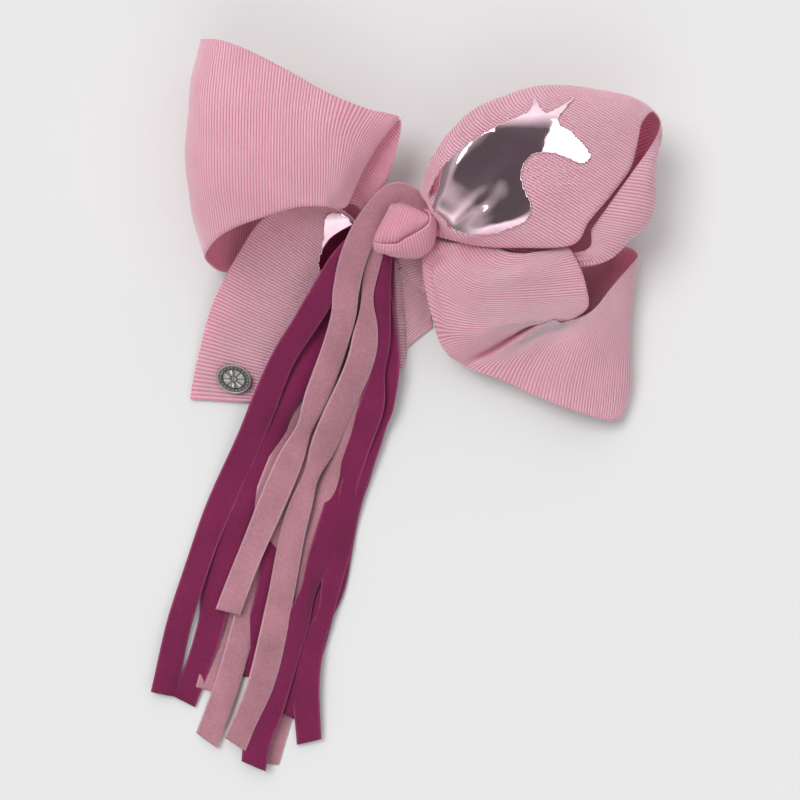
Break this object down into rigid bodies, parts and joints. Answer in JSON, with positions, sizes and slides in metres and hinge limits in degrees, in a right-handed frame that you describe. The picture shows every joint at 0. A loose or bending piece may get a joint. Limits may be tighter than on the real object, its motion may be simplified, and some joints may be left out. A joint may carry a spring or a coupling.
{
  "type": "alligator hair clip",
  "caption": "Large gathered ribbon hair bow with fabric streamers, foil print and metal charm on a sprung alligator clip.",
  "frame": {"origin": "underside of the clip's lower jaw, in the middle of the bow", "axes": "+Z from the clip to the front of the bow, -Y along the streamers, +X across the bow"},
  "size_m": [0.2011, 0.2883, 0.0524],
  "materials": {
    "grosgrain_ribbon": "matte ribbed grosgrain, light pink",
    "streamer_pink": "soft brushed knit, dusty pink",
    "streamer_magenta": "soft brushed knit, deep magenta",
    "foil_print": "mirror foil film, rose",
    "clip_steel": "nickel-plated sheet steel",
    "charm_metal": "antique silver casting",
    "sewing_thread": "pink polyester thread",
    "hot_glue": "cured hot-melt glue"
  },
  "bodies": {
    "bow": {"loop_upper_left": "grosgrain_ribbon", "gather_fold_left": "grosgrain_ribbon", "loop_upper_right": "grosgrain_ribbon", "loop_lower_right": "grosgrain_ribbon", "tail_left": "grosgrain_ribbon", "tail_center": "grosgrain_ribbon", "gather_core": "grosgrain_ribbon", "center_knot": "grosgrain_ribbon", "center_wrap_band": "grosgrain_ribbon", "streamer_magenta_1": "streamer_magenta", "streamer_magenta_2": "streamer_magenta", "streamer_magenta_3": "streamer_magenta", "streamer_magenta_4": "streamer_magenta", "streamer_magenta_5": "streamer_magenta", "streamer_magenta_6": "streamer_magenta", "streamer_pink_1": "streamer_pink", "streamer_pink_2": "streamer_pink", "streamer_pink_3": "streamer_pink", "streamer_pink_4": "streamer_pink", "streamer_pink_5": "streamer_pink", "streamer_pink_6": "streamer_pink", "foil_print_loop": "foil_print", "foil_print_tail": "foil_print", "clip_upper_arm": "clip_steel", "clip_hinge_pin": "clip_steel", "clip_spring": "clip_steel", "charm_medallion": "charm_metal", "charm_post": "charm_metal", "charm_washer": "charm_metal", "gathering_thread": "sewing_thread", "glue_pad": "hot_glue"},
    "jaw": {"clip_lower_arm": "clip_steel"}
  },
  "joints": [
    {"name": "jaw_open", "type": "hinge", "parent": "bow", "child": "jaw", "pos_m": [0.014, 0, 0.0045], "axis": [0, -1, 0], "range_deg": [0, 28], "stiffness_Nm_per_rad": 0.1, "springref_deg": -28.65, "deforming": ["clip_spring"]}
  ]
}
